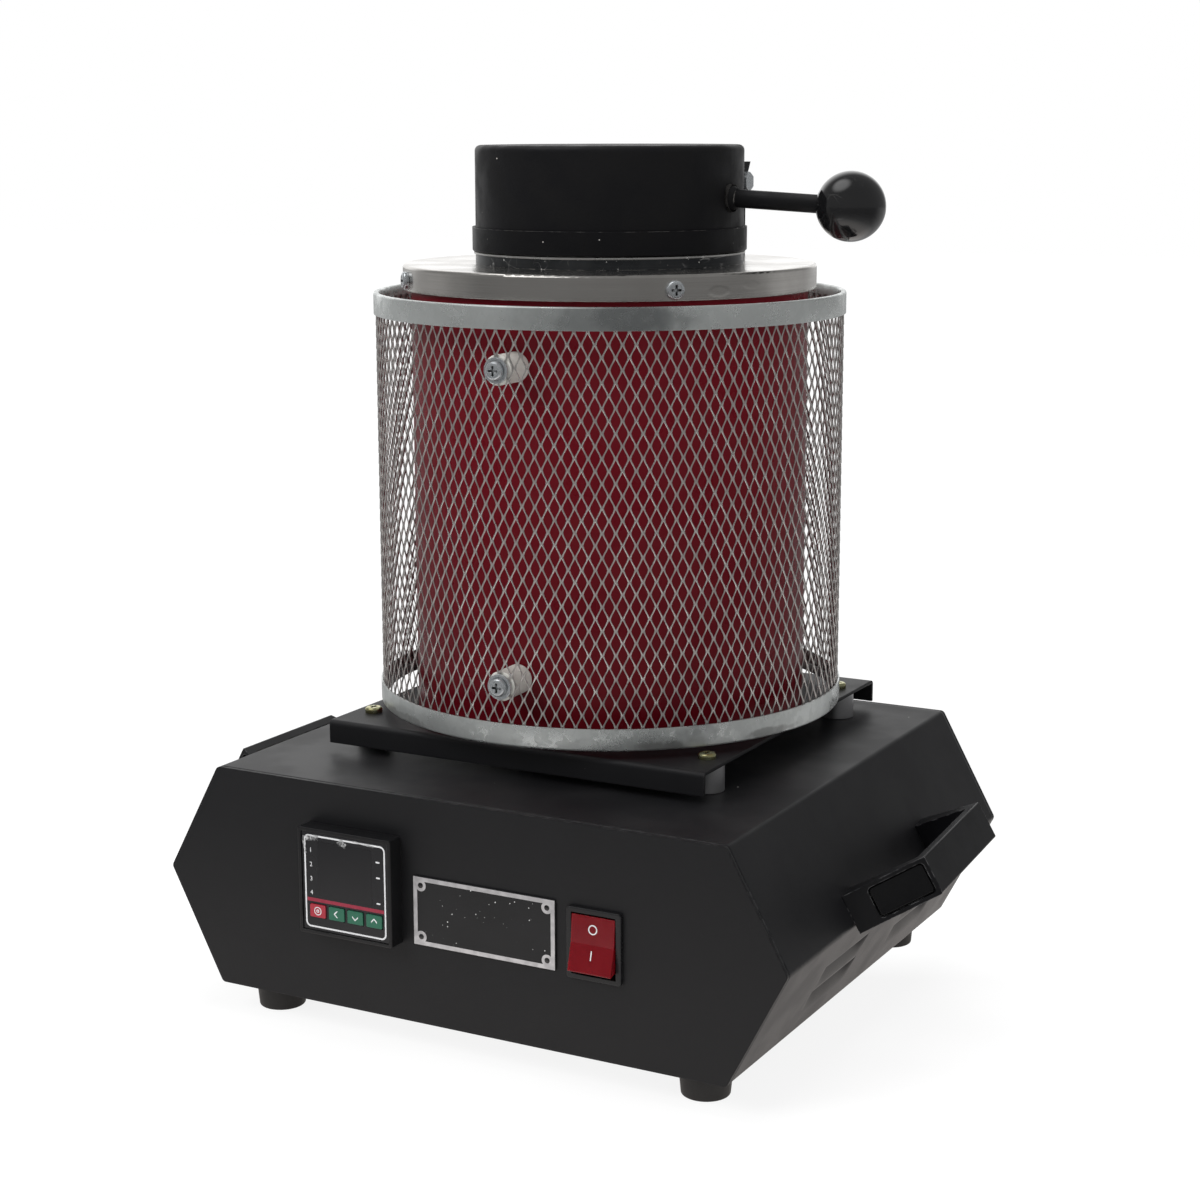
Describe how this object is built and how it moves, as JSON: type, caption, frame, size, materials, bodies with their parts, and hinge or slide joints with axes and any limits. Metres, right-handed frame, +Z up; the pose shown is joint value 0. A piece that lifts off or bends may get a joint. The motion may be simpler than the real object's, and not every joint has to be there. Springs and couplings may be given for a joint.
{
  "type": "electric crucible furnace",
  "caption": "Bench-top electric crucible furnace: round mesh-guarded barrel with a hinged lid, on a six-sided casing with a temperature controller, a switch and two carrying handles.",
  "frame": {"origin": "on the surface that the feet stand on, below the middle of the base casing, which is within 3 mm of the middle of the whole outline", "axes": "+Z up, the controls face -Y, the lid's knob points to +X and its hinge is at +Y"},
  "size_m": [0.3685, 0.2591, 0.3854],
  "materials": {
    "black_powder_coat": "satin",
    "red_enamel": "satin",
    "galvanised_steel": "satin",
    "guard_wire": "satin",
    "stainless": "satin",
    "lid_black": "satin",
    "scaled_steel": "matte",
    "bright_zinc": "satin",
    "yellow_zinc": "satin",
    "hinge_steel": "satin",
    "moulded_black": "satin",
    "knob_black": "gloss",
    "switch_black": "satin",
    "switch_red": "gloss",
    "controller_black": "satin",
    "red_key": "satin",
    "green_key": "satin",
    "circuit_board": "satin",
    "black_anodised": "satin",
    "bare_aluminium": "satin",
    "white_ceramic": "matte",
    "core_ceramic": "matte",
    "fibre_board": "matte",
    "graphite": "matte",
    "resistance_wire": "matte",
    "black_rubber": "matte",
    "module_plastic": "satin"
  },
  "bodies": {
    "base": {"casing_shell": "black_powder_coat", "front_panel": "black_powder_coat", "rear_panel": "black_powder_coat", "bottom_plate": "galvanised_steel", "rubber_feet": "black_rubber", "foot_screws": "bright_zinc", "rear_panel_screws": "bright_zinc", "casing_nuts": "bright_zinc", "handle_right": "moulded_black", "handle_left": "moulded_black", "handle_caps": "moulded_black", "handle_screws": "bright_zinc", "support_plate": "black_powder_coat", "plate_spacers": "white_ceramic", "plate_screws": "yellow_zinc", "furnace_barrel": "red_enamel", "barrel_base": "red_enamel", "barrel_bolts": "bright_zinc", "floor_insulation": "fibre_board", "side_insulation": "fibre_board", "heater_core": "core_ceramic", "heating_coil": "resistance_wire", "heater_leads": "resistance_wire", "lead_tubes": "white_ceramic", "top_insulation": "fibre_board", "crucible_pedestal": "core_ceramic", "crucible": "graphite", "thermocouple": "scaled_steel", "top_cap": "stainless", "cap_screws": "bright_zinc", "mouth_collar": "scaled_steel", "hinge_bracket": "hinge_steel", "hinge_bolt": "bright_zinc", "guard_mesh": "guard_wire", "guard_band_top": "galvanised_steel", "guard_band_bottom": "galvanised_steel", "guard_standoffs": "white_ceramic", "guard_screws": "bright_zinc", "controller_case": "controller_black", "controller_face": "controller_black", "controller_board": "circuit_board", "controller_clamp": "controller_black", "switch_frame": "switch_black", "nameplate": "black_anodised", "nameplate_rivets": "bare_aluminium", "power_inlet": "switch_black", "power_heatsink": "bare_aluminium", "power_module": "module_plastic", "terminal_block": "white_ceramic"},
    "lid": {"lid_shell": "lid_black", "lid_flange": "lid_black", "lid_insulation": "fibre_board", "lid_handle_rod": "lid_black", "ball_knob": "knob_black", "lid_hinge_arm": "lid_black"},
    "rocker": {"switch_rocker": "switch_red"},
    "set_key": {"key_set": "red_key"},
    "shift_key": {"key_shift": "green_key"},
    "down_key": {"key_down": "green_key"},
    "up_key": {"key_up": "green_key"}
  },
  "joints": [
    {"name": "lid_hinge", "type": "hinge", "parent": "base", "child": "lid", "pos_m": [-0.002, 0.1002, 0.3675], "axis": [-1, 0, 0], "range_deg": [0, 100]},
    {"name": "power_switch", "type": "hinge", "parent": "base", "child": "rocker", "pos_m": [0.0664, -0.12285, 0.0638], "axis": [1, 0, 0], "range_deg": [0, 20]},
    {"name": "set_press", "type": "slide", "parent": "base", "child": "set_key", "axis": [0, 1, 0], "range_m": [0, 0.0004], "stiffness_N_per_m": 400},
    {"name": "shift_press", "type": "slide", "parent": "base", "child": "shift_key", "axis": [0, 1, 0], "range_m": [0, 0.0004], "stiffness_N_per_m": 400},
    {"name": "down_press", "type": "slide", "parent": "base", "child": "down_key", "axis": [0, 1, 0], "range_m": [0, 0.0004], "stiffness_N_per_m": 400},
    {"name": "up_press", "type": "slide", "parent": "base", "child": "up_key", "axis": [0, 1, 0], "range_m": [0, 0.0004], "stiffness_N_per_m": 400}
  ]
}
